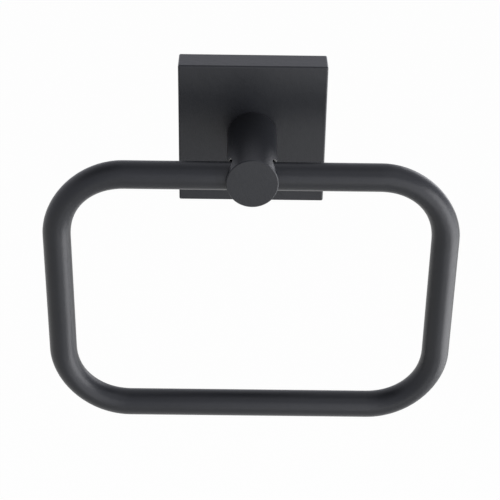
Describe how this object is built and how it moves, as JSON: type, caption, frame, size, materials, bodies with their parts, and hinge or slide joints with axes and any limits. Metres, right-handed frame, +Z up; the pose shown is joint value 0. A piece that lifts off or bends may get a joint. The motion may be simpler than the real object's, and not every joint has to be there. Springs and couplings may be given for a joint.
{
  "type": "towel ring",
  "caption": "Towel ring: a square backplate on a hidden wall bracket, a round post, and a rounded-rectangle ring of bent tube that swings in the post.",
  "frame": {"origin": "on the wall plane, behind the post's axis, midway between the two wall screw holes", "axes": "+Y into the wall, so the front faces -Y; +X to the right, seen from the front; +Z up"},
  "size_m": [0.1784, 0.061, 0.1549],
  "materials": {
    "black_coat": "matte",
    "zinc_steel": "satin",
    "black_steel": "satin"
  },
  "bodies": {
    "wall_mount": {"backplate": "black_coat", "post": "black_coat", "wall_bracket": "zinc_steel", "post_screw": "zinc_steel", "post_lock_washer": "zinc_steel", "post_locating_pin": "zinc_steel", "set_screw": "black_steel"},
    "swing_ring": {"ring": "black_coat"}
  },
  "joints": [
    {"name": "ring_swing", "type": "hinge", "parent": "wall_mount", "child": "swing_ring", "pos_m": [0, -0.0527, -0.0004], "axis": [-1, 0, 0], "range_deg": [-23.5, 203.5]}
  ]
}
